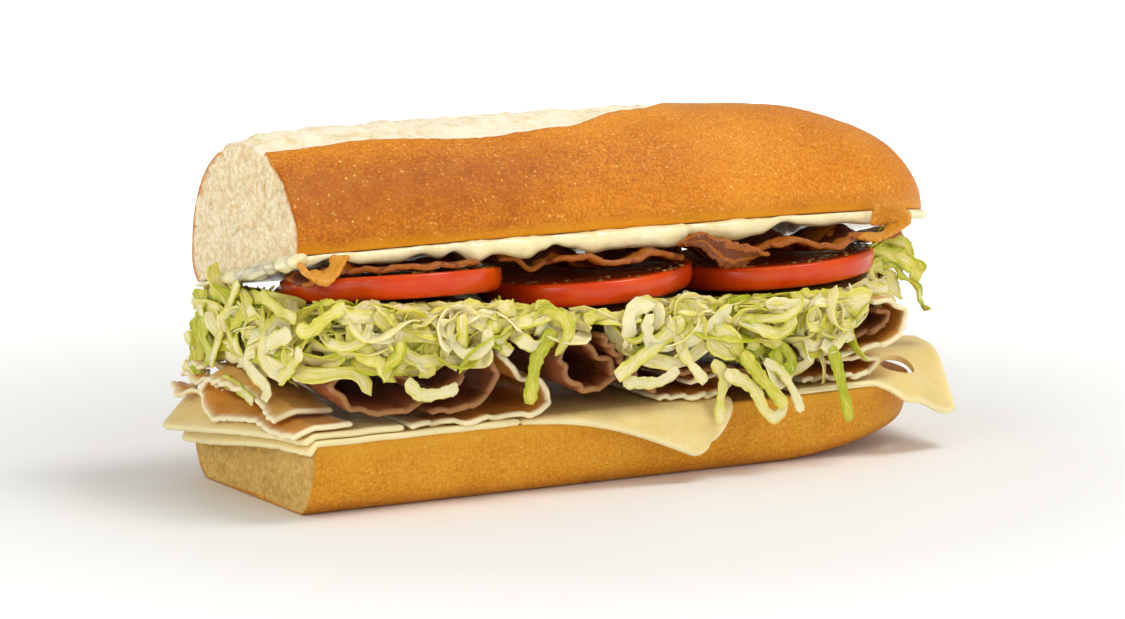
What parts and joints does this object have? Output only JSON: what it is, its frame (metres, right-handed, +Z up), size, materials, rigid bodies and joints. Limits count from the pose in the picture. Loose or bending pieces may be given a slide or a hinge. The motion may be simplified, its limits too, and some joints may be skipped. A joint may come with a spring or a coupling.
{
  "type": "submarine sandwich",
  "caption": "Half of a long filled sandwich roll, cut square at one end, with cheese, sliced turkey and roast beef, shredded lettuce, tomato, bacon and mayonnaise.",
  "frame": {"origin": "middle of the bounding box on the surface that the roll rests on", "axes": "+X along the roll from the cut face to the rounded end, +Y from the open showing side to the back, +Z up"},
  "size_m": [0.224, 0.0918, 0.0996],
  "materials": {
    "crust": "browned bread crust, caramel brown, fine blisters",
    "lower_crust": "golden bread crust, dusted with flour",
    "cheese": "smooth pale yellow cheese, satin",
    "turkey": "moist sliced turkey, satin",
    "beef": "moist sliced roast beef, satin",
    "lettuce": "crisp iceberg shreds, satin",
    "tomato": "wet tomato slice, glossy",
    "bacon": "crisp fried bacon, oily",
    "mayonnaise": "creamy, glossy"
  },
  "bodies": {
    "root": {"bun_bottom": "lower_crust", "bun_top": "crust", "cheese_1": "cheese", "cheese_2": "cheese", "cheese_3": "cheese", "cheese_4": "cheese", "turkey_1": "turkey", "turkey_2": "turkey", "turkey_3": "turkey", "turkey_4": "turkey", "turkey_5": "turkey", "beef_1": "beef", "beef_2": "beef", "beef_3": "beef", "beef_4": "beef", "beef_5": "beef", "beef_6": "beef", "lettuce": "lettuce", "tomato_1": "tomato", "tomato_2": "tomato", "tomato_3": "tomato", "bacon_1": "bacon", "bacon_2": "bacon", "bacon_3": "bacon", "mayo": "mayonnaise"}
  },
  "joints": []
}
